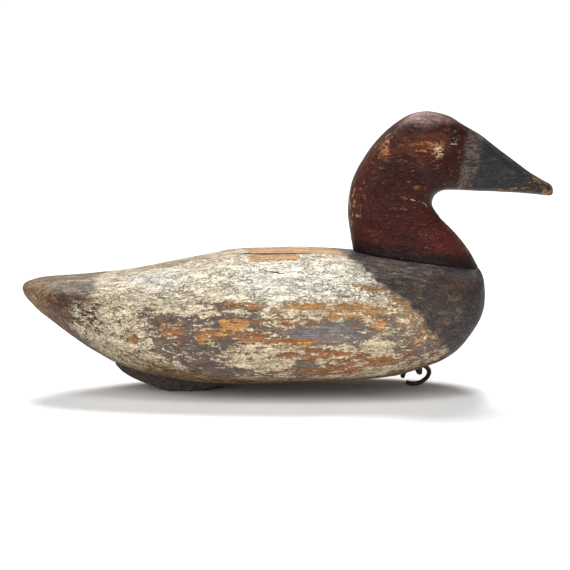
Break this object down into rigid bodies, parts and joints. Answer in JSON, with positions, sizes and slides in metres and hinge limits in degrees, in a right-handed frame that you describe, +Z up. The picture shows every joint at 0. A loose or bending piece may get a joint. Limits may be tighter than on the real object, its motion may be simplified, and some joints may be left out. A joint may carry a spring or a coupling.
{
  "type": "floating duck decoy",
  "caption": "Carved wooden duck decoy: a solid body block with a separate head on a flat shelf, a keel weight under the tail and a ring in a staple under the breast for the anchor line.",
  "frame": {"origin": "centre of the whole object's box in plan, on the ground it stands on", "axes": "+X from the tail to the bill, +Y to the duck's left side, +Z up"},
  "size_m": [0.397, 0.1504, 0.209],
  "materials": {
    "body_paint": "matte",
    "head_paint": "satin",
    "bare_wood": "matte",
    "lead": "matte",
    "black_iron": "satin",
    "rusty_iron": "matte",
    "nail_steel": "matte"
  },
  "bodies": {
    "decoy": {"body_block": "body_paint", "head": "head_paint", "head_dowel": "bare_wood", "neck_nails": "nail_steel", "ballast_weight": "lead", "weight_nails": "nail_steel", "line_staple": "rusty_iron"},
    "ring": {"line_ring": "black_iron"}
  },
  "joints": [
    {"name": "ring_swing", "type": "hinge", "parent": "decoy", "child": "ring", "pos_m": [0.09816, 0, 0.0178], "axis": [0.9595, 0, 0.2818], "range_deg": [-128, 50]}
  ]
}
